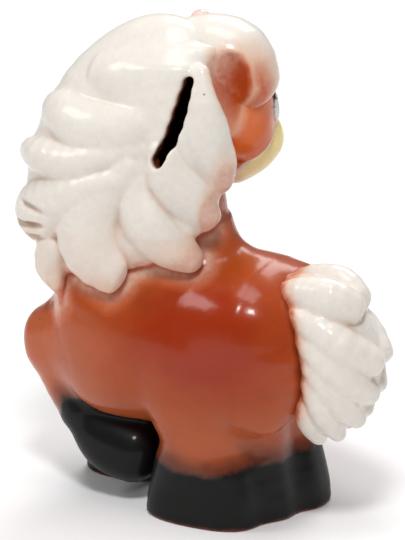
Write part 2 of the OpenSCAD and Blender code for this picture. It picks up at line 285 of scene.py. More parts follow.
# The mane's mass, and the locks laid on it as x, z, half width; how proud they stand, and their roll.
MANE_MASS = [(50, 15, 115, 15, 21), (48, 13, 137, 23.5, 33), (42, 10, 163, 25.5, 38), (33, 4, 188, 23.5, 37),
             (24, -1, 205, 19.5, 31), (19, -4, 213, 16, 23)]
APRON = [(38, 28, 128, 15, 10), (20, 26, 134, 16, 9), (4, 21, 145, 15, 8), (-5, 16, 158, 13, 8)]
NAPE = [(16, 7, 205, 19, 26), (14, 11, 188, 19, 28), (14, 12, 166, 19, 28), (14, 11, 140, 18, 26)]
LOCKS = [
    ([(60, 124, 7, 38), (63, 113, 8, 36), (60, 104, 5, 33), (57, 97, 2, 31)], 2.0, 0),
    ([(24, 161, 6), (38, 155, 9), (54, 146, 12), (69, 136, 14), (78, 130, 9)], 7.0, 14),
    ([(20, 168, 7), (33, 153, 12), (41, 139, 15, 44), (38, 124, 15, 45), (25, 115, 10, 42)], 6.5, 8),
    ([(15, 176, 6), (33, 169, 8), (49, 164, 10), (66, 163, 9), (78, 162, 6)], 6.0, 18),
    ([(16, 170, 6, 33), (18, 154, 10, 37), (13, 140, 13, 39), (3, 130, 11, 35), (-8, 124, 6, 29)], 5.0, 16),
    ([(0, 197, 6), (13, 189, 11), (28, 182, 13), (43, 180, 14), (57, 183, 12), (67, 183, 8)], 6.6, 22),
    ([(5, 176, 7, 34), (3, 163, 11, 35), (-4, 152, 12, 31), (-12, 142, 8, 23)], 5.0, 10),
    ([(-6, 213, 7), (6, 209, 12), (19, 205, 14), (32, 202, 14), (45, 203, 9)], 6.4, 22),
    ([(-6, 209, 7, 19), (-9, 195, 10, 24), (-10, 180, 11, 25), (-13, 167, 9, 21), (-14, 158, 6, 17)], 4.6, -8),
]
FAR_SIDE_LOCKS = (1, 2, 3, 5, 7)
GROOVES = [[(60, 141), (74, 142)], [(60, 134), (76, 132)], [(62, 127), (74, 126)]]
GROOVE_PROUD = 8.5


def on_mane(x, z, side):
    """The y of the mane mass's surface at x, z."""
    m = np.array(MANE_MASS, float)
    zz = np.clip(z, m[0, 2], m[-1, 2])
    xc, yc, ry, rx = (np.interp(zz, m[:, 2], m[:, i]) for i in (0, 1, 3, 4))
    over = max(z - m[-1, 2], m[0, 2] - z, 0) / 15
    part = math.sqrt(max(1 - ((x - xc) / rx) ** 2 - over ** 2, 0.1))
    return yc + side * ry * part


LOCK_THICK = 10.0


def lock(field, path, proud, roll, side=1):
    """A lock along path, proud of the mane's mass unless a station gives its own y."""
    stations = []
    for i, (x, z, hw, *top) in enumerate(path):
        t = LOCK_THICK * (0.55 if i in (0, len(path) - 1) else 1.0)
        y = top[0] - t if top else on_mane(x, z, side) + side * (proud - t)
        stations.append((x, y, z, hw, t))
    field.pod(stations, LEFT, 0.9, caps=(5, 4), roll=roll)


def mane_outside():
    f = Field((-40, -50, 80), (100, 58, 242))
    f.pod(MANE_MASS, AHEAD, 0, caps=(12, 11), level=True)
    f.pod(NAPE, AHEAD, 5, caps=(10, 10))
    f.pod(APRON, LEFT, 5, caps=(10, 8))
    for path, proud, roll in LOCKS:
        lock(f, path, proud, roll)
    for i in FAR_SIDE_LOCKS:
        path, proud, roll = LOCKS[i]
        lock(f, [(s[0] - 9, s[1] - 2, s[2]) for s in path], proud - 1.5, roll, side=-1)
    for (x0, z0), (x1, z1) in GROOVES:
        f.pod([(x0, on_mane(x0, z0, 1) + GROOVE_PROUD, z0, 1.5, 2.4),
               (x1, on_mane(x1, z1, 1) + GROOVE_PROUD, z1, 1.6, 2.6)],
              LEFT, 2.0, caps=(3, 5), cut=True, k=1)
    return f


TAIL_MASS = [(-42, 0, 106, 9, 10), (-56, 0, 103, 14, 13), (-70, 0, 91, 16, 17), (-73, 0, 75, 16, 16),
             (-68, 0, 59, 12, 12), (-64, 0, 49, 8, 7)]
TAIL_LOCKS = [
    [(-60, 6, 78, 4, 4), (-61, 12, 66, 6, 7), (-63, 13, 54, 7, 7), (-65, 10, 45, 4, 4)],
    [(-60, 9, 84, 5, 4), (-66, 15, 73, 7, 8), (-71, 14, 59, 7, 8), (-74, 9, 48, 4, 4)],
    [(-58, 11, 92, 5, 4), (-67, 16, 81, 7, 8), (-77, 14, 67, 8, 8), (-83, 7, 56, 4, 5)],
    [(-53, 11, 99, 5, 4), (-66, 16, 90, 8, 8), (-79, 14, 78, 9, 9), (-89, 6, 69, 5, 6)],
    [(-48, 9, 105, 5, 4), (-62, 14, 101, 8, 8), (-78, 14, 92, 9, 9), (-91, 6, 84, 6, 7)],
    [(-43, 6, 107, 6, 5), (-57, 9, 110, 10, 8), (-70, 9, 110, 11, 9), (-80, 5, 108, 7, 7)],
]


def tail_outside():
    f = Field((-108, -36, 30), (-26, 36, 136))
    f.pod(TAIL_MASS, (1, 0, -1), 0, caps=(8, 5))
    for stations in TAIL_LOCKS:
        f.pod(stations, LEFT, 0.8, caps=(4, 4), roll=10)
        f.pod([(x + 3, 0.8 * y, z, a, b) for x, y, z, a, b in mirrored(stations)], LEFT, 0.8, caps=(4, 4))
    return f


# The head looks back over the pony's right side.
FACE = np.array([-0.5, -0.866, 0.0])
CHEEK = np.array([0.866, -0.5, 0.0])
SKULL = np.array([3.0, -19.0, 0.0])


def on_head(ahead, left, z):
    """A point given by how far it lies ahead and to the left of the skull's centre, and its height."""
    p = SKULL + FACE * ahead + CHEEK * left
    return float(p[0]), float(p[1]), z


def along_head(x, y, way):
    """How far points lie from the skull's centre along FACE or CHEEK."""
    return (x - SKULL[0]) * way[0] + (y - SKULL[1]) * way[1]


def muzzle_line(ahead, z):
    """Height above the line where the cheeks step down to the muzzle."""
    return (z - 151.5 - 0.93 * ahead + 0.006 * (ahead - 12) ** 2) * 0.74


def head_outside():
    f = Field((-54, -78, 126), (52, 28, 236), HEAD_GRID)
    f.pod([(11, -7, 189, 27, 26), (4, -17, 186, 27, 26), (0, -26, 176, 22, 21)], UP, 0, caps=(18, 12))
    for side in (1, -1):
        # cheeks and bulging eyes
        f.pod([(*on_head(6, 14 * side, 176), 11, 11), (*on_head(13, 10 * side, 167), 10, 10)], UP, 4, caps=(9, 7))
        f.pod([(*on_head(19.5, 9.5 * side, 186), 7.5, 6), (*on_head(20, 9.5 * side, 178), 7.5, 6.5)], AHEAD, 1.0,
              caps=(5, 5))
    x, y, z = f.whole()
    ahead = along_head(x, y, FACE)
    f.d = smax(f.d, -muzzle_line(ahead, z).astype(np.float32), 1.5)
    # muzzle and nostrils
    f.pod([(*on_head(6, 1.5, 157), 15, 12.5), (*on_head(15, 1.5, 162), 17.5, 14),
           (*on_head(22, 1.5, 167), 16, 13.5)], UP, 0.6, caps=(8, 9))
    for side in (1, -1):
        f.pod([(*on_head(33.5, 1 + 5.5 * side, 173), 1.5, 1.2), (*on_head(34.5, 1 + 4.5 * side, 171), 1.3, 1.2)],
              UP, 1.0, caps=(2, 2), cut=True, k=1)
    return f


FORELOCK = [(17, -7, 211, 13, 12), (4, -12, 212, 16, 17), (-7, -16, 208, 18, 20), (-12, -16, 198, 17, 18)]


def forelock_outside():
    f = Field((-46, -60, 170), (42, 20, 242), HEAD_GRID)
    f.pod(FORELOCK, (1, -1, 0.3), 0, caps=(8, 12))
    # the lower edge runs from the foot of the ear up to the brow
    x, y, z = f.whole()
    n = unit(np.cross((-7, -25, 15), (-0.883, -0.469, 0.25)))
    n = n if n[2] < 0 else -n
    f.d = smax(f.d, ((x + 16) * n[0] + (y + 5) * n[1] + (z - 184.5) * n[2]).astype(np.float32), 2.0)
    return f


EAR_HOLLOW = [(-13.5, 4, 183, 3.5, 4), (-16, 5, 191, 5.5, 6.5), (-18, 6, 200, 8, 9), (-17.5, 6, 209, 8, 9),
              (-15.5, 5, 214, 6, 7)]


def ear_right_outside():
    f = Field((-42, -26, 170), (8, 22, 234), EAR_GRID)
    f.pod([(-14, -2, 184, 6, 6), (-17.5, 0, 194, 9, 9), (-18, 0, 203, 9.5, 9.5), (-15, 0, 210, 7, 7)],
          AHEAD, 0, caps=(5, 4))
    f.pod(EAR_HOLLOW, AHEAD, 1.2, caps=(4, 4), cut=True)
    return f


def ear_left_outside():
    f = Field((-8, -50, 192), (36, -6, 238), EAR_GRID)
    f.pod([(12, -24, 201, 8, 7), (13, -25, 211, 10, 8), (14, -25, 221, 5, 5)], AHEAD, 0, caps=(6, 5))
    f.pod([(8, -32, 204, 5, 5), (9, -33, 212, 6, 6), (12, -31, 221, 3, 3)], AHEAD, 1.5, caps=(4, 4), cut=True)
    return f


def hoof_and_leg(f, place, hl, hw, lean, top, leg):
    """A flared hoof of half length hl and half width hw, and a leg of half length leg up to top, leaning ahead."""
    x, y = place
    f.pod([(x, y, 2, hw + 0.5, hl + 1.2), (x, y, 12, hw - 0.3, hl - 0.8), (x + lean * 0.3, y, 24, hw - 1, hl - 3.5)],
          AHEAD, 0, caps=(7, 5), reach=14, p=2.6)
    f.pod([(x + lean * 0.3, y, 20, hw - 1.5, leg), (x + lean * 0.6, y, 36, hw - 2, leg + 0.5),
           (x + lean, y, top, hw - 2, leg + 2)], AHEAD, 4, caps=(5, 6), p=2.3)


def hind_legs_outside():
    """Both hind legs: one block, as they're pressed together, cut in two at the mould's parting plane."""
    f = Field((-70, -42, -4), (32, 42, 84))
    hoof_and_leg(f, (-12, 18.5), 27, 18, 1, 60, 20)
    g = Field((-70, -42, -4), (32, 42, 84))
    hoof_and_leg(g, (-28, -17), 26, 17.5, 2, 60, 20)
    g.pod([(-24, 3, 2, 16, 25), (-23, 3, 24, 15, 22), (-22, 3, 60, 14, 20)], AHEAD, 6, caps=(7, 6), p=2.4)
    f.d = smin(f.d, g.d, 8)
    return f


def foreleg_right_outside():
    f = Field((18, -44, -4), (80, 12, 84))
    hoof_and_leg(f, (46, -15), 19, 15.5, 1, 70, 15)
    return f


def foreleg_left_outside():
    f = Field((4, -12, -2), (98, 46, 104))
    f.pod([(46, 18, 72, 15, 20), (60, 16, 73, 15, 19), (72, 13, 70, 14, 15)], UP, 0, caps=(8, 11))
    f.pod([(68, 13, 66, 13.5, 14), (60, 13, 51, 12.5, 14), (52, 14, 40, 13, 13)], AHEAD, 6, caps=(9, 5))
    f.pod([(51, 14, 38, 13, 10), (45, 14, 31, 15, 12), (37, 14, 26, 16, 15.5), (26, 14, 23, 15.5, 15)], UP, 6,
          caps=(6, 9), p=2.3)
    return f


# ---------------------------------------------------------------- pieces
WALL = 6.0           # thickness of the shells
BITE = 2.5           # how deep neighbours reach into each other
trunk, mane, tail, head = trunk_outside(), mane_outside(), tail_outside(), head_outside()
forelock, ear_right, ear_left = forelock_outside(), ear_right_outside(), ear_left_outside()
hind_legs, foreleg_right, foreleg_left = hind_legs_outside(), foreleg_right_outside(), foreleg_left_outside()


def minus(f, *others, bite=BITE):
    """Takes the others away from f, but lets the two still bite into each other, as luted clay does."""
    for g in others:
        f.d = np.maximum(f.d, -(f.of(g) + bite))


def grounded(f):
    """Cuts the hooves flat at the table."""
    z = f.whole()[2]
    f.d = smax(f.d, -z + 0 * f.d, 1.2)


HOLE_AT = np.array([10.5, -14, 35.4])
TILT = math.radians(25)
HOLE_R = 12.7
RECESS_R = 16.0      # clearance for the stopper's flange
BOSS_R = 18.5        # thick clay round the hole


def hole_axes(points_y, points_z):
    """Distance along the stopper's axis, and sideways from it in the tilted plane."""
    along = (points_y - HOLE_AT[1]) * math.sin(TILT) + (points_z - HOLE_AT[2]) * math.cos(TILT)
    across = (points_y - HOLE_AT[1]) * math.cos(TILT) - (points_z - HOLE_AT[2]) * math.sin(TILT)
    return along, across


def drum(f, radius, low, high):
    """A cylinder about the stopper's axis, between two heights along it."""
    x, y, z = f.whole()
    along, across = hole_axes(y, z)
    r = np.sqrt((x - HOLE_AT[0]) ** 2 + across ** 2)
    return np.maximum(r - radius, np.maximum(low - along, along - high)).astype(np.float32)


SLOT = [(-3.4, 206.5), (-2.5, 200), (-0.8, 190), (2.0, 180), (5.6, 171.5)]


def slot(f):
    """The coin slot, slightly wider at its lower end and with ragged edges."""
    x, y, z = f.whole()
    d = np.full(np.broadcast_shapes(x.shape, z.shape), FAR, np.float32)
    for (x0, z0), (x1, z1) in zip(SLOT, SLOT[1:]):
        t = np.clip(((x - x0) * (x1 - x0) + (z - z0) * (z1 - z0)) / ((x1 - x0) ** 2 + (z1 - z0) ** 2), 0, 1)
        d = np.minimum(d, np.hypot(x - x0 - t * (x1 - x0), z - z0 - t * (z1 - z0)))
    wobble = 0.2 * np.sin(z * 0.9) + 0.12 * np.sin(z * 2.3 + y * 0.8)
    return np.maximum(d - 2.4 - 0.6 * step(206, 188, z) + wobble, 6 - y).astype(np.float32)


def hollowed(f):
    """The field as a shell round the bank's one chamber."""
    skin = np.minimum.reduce([f.d, f.of(trunk), f.of(mane), f.of(head), f.of(forelock)])
    cavity = np.maximum(skin + WALL, -drum(f, BOSS_R, -10, 10.5))
    return smax(f.d, -cavity, 1.0)


hair_cup = Field((-42, -26, 170), (8, 22, 234), EAR_GRID)
hair_cup.pod(EAR_HOLLOW, AHEAD, 0, caps=(4, 4))
for f, k in ((mane, 6.0), (head, 1.0), (forelock, 0.8)):
    f.d = smax(f.d, -f.of(hair_cup), k)

# the outer skins stay as they are now, and the shells are cut from them below
BODY = {"trunk": trunk, "mane": mane, "head": head}
bare = {name: f.like(f.d.copy()) for name, f in BODY.items()}
shells = {name: hollowed(f) for name, f in BODY.items()}


def rooted(leg, k):
    """A leg with a fillet onto the trunk; its skirt hides just under the trunk's skin."""
    body = leg.of(trunk)
    whole = smin(leg.d, body + 0.25, k)
    leg.d = np.maximum(smax(whole, leg.d - k, 1.0), -(body + 3.0))


grounded(hind_legs)
grounded(foreleg_right)
rooted(hind_legs, 7)
rooted(foreleg_right, 7)
rooted(foreleg_left, 5)
minus(foreleg_left, hind_legs, bite=0.0)
minus(tail, trunk)
forelock_skin = forelock.like(forelock.d.copy())
minus(forelock, mane, head)
minus(ear_right, mane, head, bite=1.2)
ear_right.d = smax(ear_right.d, ear_right.of(forelock_skin) + 0.1, 0.5)
minus(ear_left, mane, head, forelock)

trunk.d = smax(shells["trunk"], -(trunk.of(bare["mane"]) + BITE), 0)
trunk.d = np.maximum(trunk.d, -(trunk.of(bare["head"]) + BITE))
trunk.d = np.maximum(trunk.d, -np.minimum(drum(trunk, HOLE_R, -30, 40), drum(trunk, RECESS_R, -30, 0)))
trunk.d = np.maximum(trunk.d, -slot(trunk))
mane.d = smax(shells["mane"], -slot(mane), 0.8)
head.d = np.maximum(np.maximum(shells["head"], -(head.of(bare["mane"]) + BITE)), -slot(head))
for leg in (hind_legs, foreleg_right, foreleg_left):
    leg.d = np.maximum(leg.d, -drum(leg, RECESS_R, -30, 0))

meshes = {}
for name, f in (("tail", tail), ("head", head), ("forelock", forelock), ("ear_left", ear_left),
                ("ear_right", ear_right), ("foreleg_left", foreleg_left), ("foreleg_right", foreleg_right)):
    meshes[name] = mesh_field(name, f.soften())
for name, f, left, right in (("trunk", trunk, "trunk_left", "trunk_right"), ("mane", mane, "mane_left", "mane_right"),
                             ("hind_legs", hind_legs, "hind_leg_left", "hind_leg_right")):
    both = mesh_field(name, f.soften())
    meshes[left], meshes[right] = halves(both, left, right)
    bpy.data.meshes.remove(both)


# ---------------------------------------------------------------- paint
def linear(rgb):
    c = np.array(rgb, float) / 255
    return np.where(c < 0.04, c / 12.92, ((c + 0.055) / 1.055) ** 2.4)


RNG = np.random.default_rng(7)
LATTICE = RNG.random((48, 48, 48)).astype(np.float32)


def noise(p, size, octaves=2):
    """Smooth value noise, -1..1, with features of about size mm."""
    total, weight = 0, 0
    for o in range(octaves):
        q = p / size * 2 ** o + 17.3 * o
        i = np.floor(q).astype(int)
        f = q - i
        f = f * f * (3 - 2 * f)
        v = 0
        for dx in (0, 1):
            for dy in (0, 1):
                for dz in (0, 1):
                    g = LATTICE[(i[:, 0] + dx) % 48, (i[:, 1] + dy) % 48, (i[:, 2] + dz) % 48]
                    v = v + g * (f[:, 0] if dx else 1 - f[:, 0]) * (f[:, 1] if dy else 1 - f[:, 1]) * \
                        (f[:, 2] if dz else 1 - f[:, 2])
        total = total + (v * 2 - 1) * 0.5 ** o
        weight += 0.5 ** o
    return total / weight


WHITE, CREAM, PINK = linear((235, 230, 222)), linear((252, 228, 160)), linear((240, 190, 175))
PEACH, SHADE, PALE_BROWN_AND_FLOOR_SHEEN = linear((232, 190, 162)), linear((196, 160, 138)), linear((186, 98, 62))
GOLD, ORANGE, TAN = linear((230, 110, 42)), linear((196, 84, 30)), linear((180, 84, 34))
SIENNA, BROWN, DUSK = linear((156, 44, 0)), linear((146, 58, 10)), linear((84, 38, 24))
RIM, RAW = linear((122, 52, 30)), linear((176, 92, 60))
BLACK, BLUE = linear((14, 14, 13)), linear((52, 128, 186))

# the whole figure's outside, coarse and blurred a lot (soft) or a little (fine), tells creases from crests
soft = Field((-110, -54, -6), (102, 60, 244), WHOLE_GRID)
for f in (*bare.values(), tail, forelock, ear_right, ear_left, hind_legs, foreleg_right, foreleg_left):
    soft.d = np.minimum(soft.d, np.minimum(soft.of(f), 6))
soft.d = np.maximum(soft.d, -6)
fine = soft.like(soft.d.copy())
fine.soften(3)
soft.soften(12)


def plain_coat(color, p):
    return np.tile(color, (len(p), 1))


def mix(base, other, amount):
    return base + (np.asarray(other) - base) * np.clip(amount, 0, 1)[:, None]


def near_to(f, p):
    """The field's distance at points in mm, FAR where it is farther or outside the field's box."""
    boxed = np.all((p > f.lo) & (p < f.lo + f.h * (np.array(f.d.shape) - 1)), axis=1)
    return np.where(boxed, np.minimum(f.sample(p), FAR), FAR)


def brown_paint(p):
    """Airbrushed browns, deepest on the flank; lighter low down and at the front, partly the airbrush's fade and
    partly a painted reflection of the pale floor; and painted shade in the creases.
    """
    x, y, z = p.T
    crease = -soft.sample(p)
    n = noise(p, 16) * 8
    c = plain_coat(SIENNA, p)
    c = mix(c, BROWN, step(78, 40, z + n) * 0.75)
    flank = np.hypot((x + 18) / 1.3, z - 92) + n
    c = mix(c, TAN, step(14, 42, flank) * 0.6)
    c = mix(c, TAN, step(106, 124, z + n) * 0.6)
    c = mix(c, ORANGE, step(50, 62, x + n * 0.6) * 0.5 * step(30, 60, z))
    # lighter, duller brown low down and at the front: partly the airbrush's own fade, partly a painted reflection of
    # the pale floor
    c = mix(c, PALE_BROWN_AND_FLOOR_SHEEN, step(18, 42, x + n) * step(98, 80, z + n) * 0.55)
    c = mix(c, PALE_BROWN_AND_FLOOR_SHEEN, step(64, 46, z + n) * 0.4)
    c = mix(c, DUSK, step(40, 26, z + n * 0.4) * 0.6)
    # painted shade: dark brown laid into the creases, where less light reaches
    c = mix(c, DUSK, step(0.2, 1.6, crease) * 0.55)
    return c


def hoof_edge(p, raised):
    """How far a point lies on the black side of the paint's edge, in mm."""
    x, y, z = p.T
    ragged = noise(p, 5) * 1.4 + noise(p + 40, 1.8) * 0.5
    if raised:
        return smin((60.5 - x) * 0.95 + (40 - z) * 0.25, (47 - z) + 0.12 * (60 - x), 4) + ragged
    return 26.5 + 1.5 * np.sin(x * 0.11) - z + ragged


def eye_paint(c, ahead, aside, z):
    """Two painted eyes with blue irises, dark lashes above, and a smiling mouth."""
    for side in (1, -1):
        lens = np.where(ahead > 12, 0, 40)
        u, v = aside - 10 * side, z - 181.5
        white = np.hypot(u / 6.6, v / 7.6) * 7 + lens
        c = mix(c, WHITE, step(7.4, 6.6, white))
        iris = np.hypot((u + 0.8 * side) / 4.6, (v + 0.6) / 5.8) * 5 + lens
        c = mix(c, BLUE, step(5.3, 4.8, iris))
        pupil = np.hypot((u + 1.0 * side) / 2.6, (v + 0.6) / 3.6) * 3 + lens
        c = mix(c, BLACK, step(3.3, 2.9, pupil))
        glint = np.hypot(u + 2.2 * side, v - 2.0) + lens
        c = mix(c, WHITE, step(1.3, 0.9, glint))
        lid = np.abs(white - 7.7) + np.where(v > -1.5, 0, 20)
        c = mix(c, BLACK, step(0.75, 0.35, lid))
        for turn in (-0.9, -0.35, 0.2, 0.75):
            a, b = math.sin(turn + 0.3 * side), math.cos(turn + 0.3 * side)
            along, across = u * a + v * b, np.abs(u * b - v * a)
            c = mix(c, BLACK, step(0.55, 0.25, across + np.where((along > 6) & (along < 10.5), 0, 20) + lens))
    smile = np.abs(z - 158 - 0.03 * (aside - 1.5) ** 2) + np.where((ahead > 22) & (np.abs(aside - 1.5) < 12), 0, 20)
    return mix(c, SIENNA, step(0.7, 0.3, smile))


def body_paint(name, p, grain):
    """Brown with a pale fade below the mane; legs end in black hooves with bare soles. Also how dull it is."""
    z = p[:, 2]
    over = near_to(bare["mane"], p)
    over = over + noise(p, 11, 1) * 1.6 * step(12, 9, over)
    c = mix(brown_paint(p), ORANGE, step(11.5, 6, over) * 0.6)
    patch = 0.35 + 0.65 * step(-0.35, 0.35, noise(p, 24, 1))
    c = mix(c, PEACH, step(10.5, 1, over) * (0.75 + 2 * grain) * patch)
    c = mix(c, WHITE, step(6, 1, over) * (0.3 + 2 * grain) * patch)
    c = mix(c, ORANGE, step(2.5, 0.2, over) * 0.8)
    if name.startswith("trunk"):
        return c, np.zeros(len(p))
    dark = hoof_edge(p, name == "foreleg_left")
    c = mix(c, DUSK, step(-10, -1, dark) * 0.7)
    c = mix(c, BLACK, step(-2.6, 0.8, dark))
    c = mix(c, RIM, step(1.8, 0.5, z + noise(p, 3) * 0.9) * 0.8)
    return mix(c, RAW, step(0.5, 0.15, z)), step(-1.0, 1.0, dark)


# Heights of the mane's hem along x, for the colour of the lock ends.
HEM_X = (-20, -14, -10, 0, 25, 45, 60, 70)
HEM_Z = (168, 152, 133, 121, 107, 106, 96, 120)


def mane_paint(p, grain):
    """Off-white, with peach and painted shade in the creases, and peach and orange towards the hem."""
    x, y, z = p.T
    near = fine.sample(p)
    tight = step(0.15, 1.0, -near)
    low = step(150, 112, z + noise(p, 14) * 8)
    c = mix(plain_coat(WHITE, p), PEACH, 0.06 + 0.22 * low + 0.05 * noise(p, 20))
    # peach in the tight creases: partly the airbrush's tint, partly painted shade; the SHADE mix below is painted
    # shade in the creases
    c = mix(c, PEACH, tight * (0.35 + 0.45 * low + grain))
    c = mix(c, SHADE, step(0.2, 1.3, -near) * 0.5 + step(0.4, 2.2, -soft.sample(p)) * 0.25)
    tips = z - np.interp(x, HEM_X, HEM_Z)
    tips = tips + noise(p, 13) * 5 + np.where(x > 62, 12, 0)
    c = mix(c, PEACH, step(17, 2, tips) * (0.5 + grain))
    c = mix(c, ORANGE, step(6, -3, tips) * (0.35 + grain))
    edge = np.abs(near_to(bare["trunk"], p))
    c = mix(c, PEACH, step(8, 0.5, edge + noise(p, 8) * 2) * (0.7 + 2 * grain))
    return mix(c, ORANGE, step(4, 0, edge + noise(p, 6) * 1.5) * (0.6 + 3 * grain))


def tail_paint(p, grain):
    """Off-white with peach in the creases, partly painted shade, orange where it meets the haunch, and duskier low
    down.
    """
    z = p[:, 2]
    tight = step(0.15, 1.0, -fine.sample(p))
    # peach in the creases: partly the airbrush's tint, partly painted shade
    c = mix(plain_coat(WHITE, p), PEACH, 0.08 + tight * 0.5)
    hug = np.abs(near_to(bare["trunk"], p)) + noise(p, 6) * 1.5
    c = mix(c, PEACH, step(8, 2, hug) * (0.8 + 2 * grain))
    c = mix(c, ORANGE, step(4.5, 0.5, hug) * (0.8 + 3 * grain))
    return mix(c, DUSK, step(62, 46, z + noise(p, 8) * 4) * 0.35 * step(0.1, 0.9, tight + 0.35))


def head_paint(p):
    """Golden brown with painted shade in the creases, a cream muzzle edged with a painted highlight line, and the
    face.
    """
    x, y, z = p.T
    ahead, aside = along_head(x, y, FACE), along_head(x, y, CHEEK)
    line = muzzle_line(ahead, z) + noise(p, 7) * 0.4
    crease = -soft.sample(p)
    # painted shade: sienna laid into the creases; also deeper brown on the cheeks above the muzzle
    c = mix(plain_coat(GOLD, p), SIENNA, step(0.1, 0.9, crease) * 0.7 + step(24, 4, line) * 0.3)
    c = mix(c, SIENNA, step(6, 0, near_to(bare["mane"], p)) * 0.5)
    # painted highlight: a white line along the ridge where the cheek steps down to the muzzle
    c = mix(c, WHITE, step(2.4, 1.2, line) * step(-1.5, -0.8, line) * 0.8)
    c = mix(c, CREAM, step(0.4, -0.6, line))
    chin = step(160, 144, z) * 0.5 * step(0, -1, line)
    # a second, fainter painted highlight along the muzzle's edge, and white on the chin
    c = mix(c, WHITE, step(-2, 1, line) * step(1, 0, line) * 0.5 + chin)
    return eye_paint(c, ahead, aside, z)


def forelock_paint(p, grain):
    """Off-white with an orange shadow next to the ear."""
    x, y, z = p.T
    reach = np.sqrt((x + 24) ** 2 + (y + 5) ** 2 + ((z - 195) * 0.65) ** 2) + noise(p, 7) * 1.2
    c = mix(plain_coat(WHITE, p), PEACH, step(24, 8, reach) * (0.8 + grain) + 0.1)
    c = mix(c, ORANGE, step(15, 4, reach) * (0.9 + grain))
    return mix(c, CREAM, step(-24, -34, y) * 0.35)


def cup_paint(c, p, grain):
    """The browns airbrushed in and around the near ear's hollow."""
    x, y, z = p.T
    cup = near_to(hair_cup, p)
    deep = step(19, 5, np.sqrt((x + 22) ** 2 + y ** 2 + ((z - 202) * 0.9) ** 2) + noise(p, 5) * 1.2)
    c = mix(c, PEACH, step(7, 1, cup + noise(p, 5) * 1.5) * (0.7 + 2 * grain))
    c = mix(c, ORANGE, step(3.0, 0.4, cup + noise(p, 5) * 0.6) * (0.25 + 0.75 * deep + 2 * grain))
    return mix(c, SIENNA, step(1.5, 0.2, cup) * deep * 0.5)


def paint(name, p):
    """Colour and dullness at the points of a piece, in mm."""
    z = p[:, 2]
    grain = noise(p, 1.6, 1) * 0.09
    dull = np.zeros(len(p))
    if name.startswith(("trunk", "foreleg", "hind_leg")):
        c, dull = body_paint(name, p, grain)
    elif name.startswith("mane"):
        c = mane_paint(p, grain)
    elif name == "tail":
        c = tail_paint(p, grain)
    elif name == "head":
        c = head_paint(p)
    elif name == "forelock":
        c = forelock_paint(p, grain)
    elif name == "ear_right":
        c = mix(plain_coat(WHITE, p), PEACH, 0.25 + grain)
        c = mix(c, ORANGE, 0.3 + step(200, 186, z) * 0.5)
    else:
        c = mix(plain_coat(PINK, p), WHITE, 0.3 + noise(p, 6) * 0.2)
    if name in ("mane_left", "head", "forelock", "ear_right"):
        c = cup_paint(c, p, grain)
    if name.startswith(("trunk", "mane", "head")):
        # bare clay inside the shells, darkened to near black as painted shade in the closed chamber
        depth = np.minimum.reduce([near_to(f, p) for f in bare.values()])
        c = mix(c, RAW * 0.3, step(-1.6, -2.6, depth))
        dull = np.maximum(dull, step(-1.6, -2.6, depth))
    c = c * (1 + noise(p, 2.2, 1) * 0.03)[:, None]
    return np.clip(c, 0, 1), dull


pieces = {}
for name, mesh in meshes.items():
    co = np.empty(len(mesh.vertices) * 3, np.float32)
    mesh.vertices.foreach_get("co", co)
    p = co.reshape(-1, 3) * 1000 - SHIFT
    color, dull = paint(name, p)
    layer = mesh.attributes.new("paint", "FLOAT_COLOR", "POINT")
    layer.data.foreach_set("color", np.c_[color, np.ones(len(p))].astype(np.float32).ravel())
    layer = mesh.attributes.new("dull", "FLOAT", "POINT")
    layer.data.foreach_set("value", dull.astype(np.float32))
    ob = bpy.data.objects.new(name + "_clay", mesh)
    bpy.context.collection.objects.link(ob)
    pieces[name] = ob


# ---------------------------------------------------------------- materials
class Nodes:
    """A material's node tree t, with its Principled node b."""

    def __init__(self, name):
        self.m = bpy.data.materials.new(name)
        self.m.use_nodes = True
        self.t = self.m.node_tree
        self.b = self.t.nodes["Principled BSDF"]

    def add(self, kind, inputs=(), **props):
        n = self.t.nodes.new(kind)
        for k, v in props.items():
            setattr(n, k, v)
        for k, v in inputs:
            if isinstance(v, bpy.types.NodeSocket):
                self.t.links.new(v, n.inputs[k])
            else:
                n.inputs[k].default_value = v
        return n

    def math(self, op, a, b=0.0, c=0.0):
        return self.add("ShaderNodeMath", ((0, a), (1, b), (2, c)), operation=op).outputs[0]

    def remap(self, value, ends, results):
        """Value from one pair of ends to another, clamped."""
        inputs = (("Value", value), (1, ends[0]), (2, ends[1]), (3, results[0]), (4, results[1]))
        return self.add("ShaderNodeMapRange", inputs).outputs[0]

    def mix(self, amount, a, b):
        # sockets 6 and 7 are the two colours, and output 2 is their mix
        return self.add("ShaderNodeMix", ((0, amount), (6, a), (7, b)), data_type="RGBA").outputs[2]

    def link(self, out, name):
        self.t.links.new(out, self.b.inputs[name])


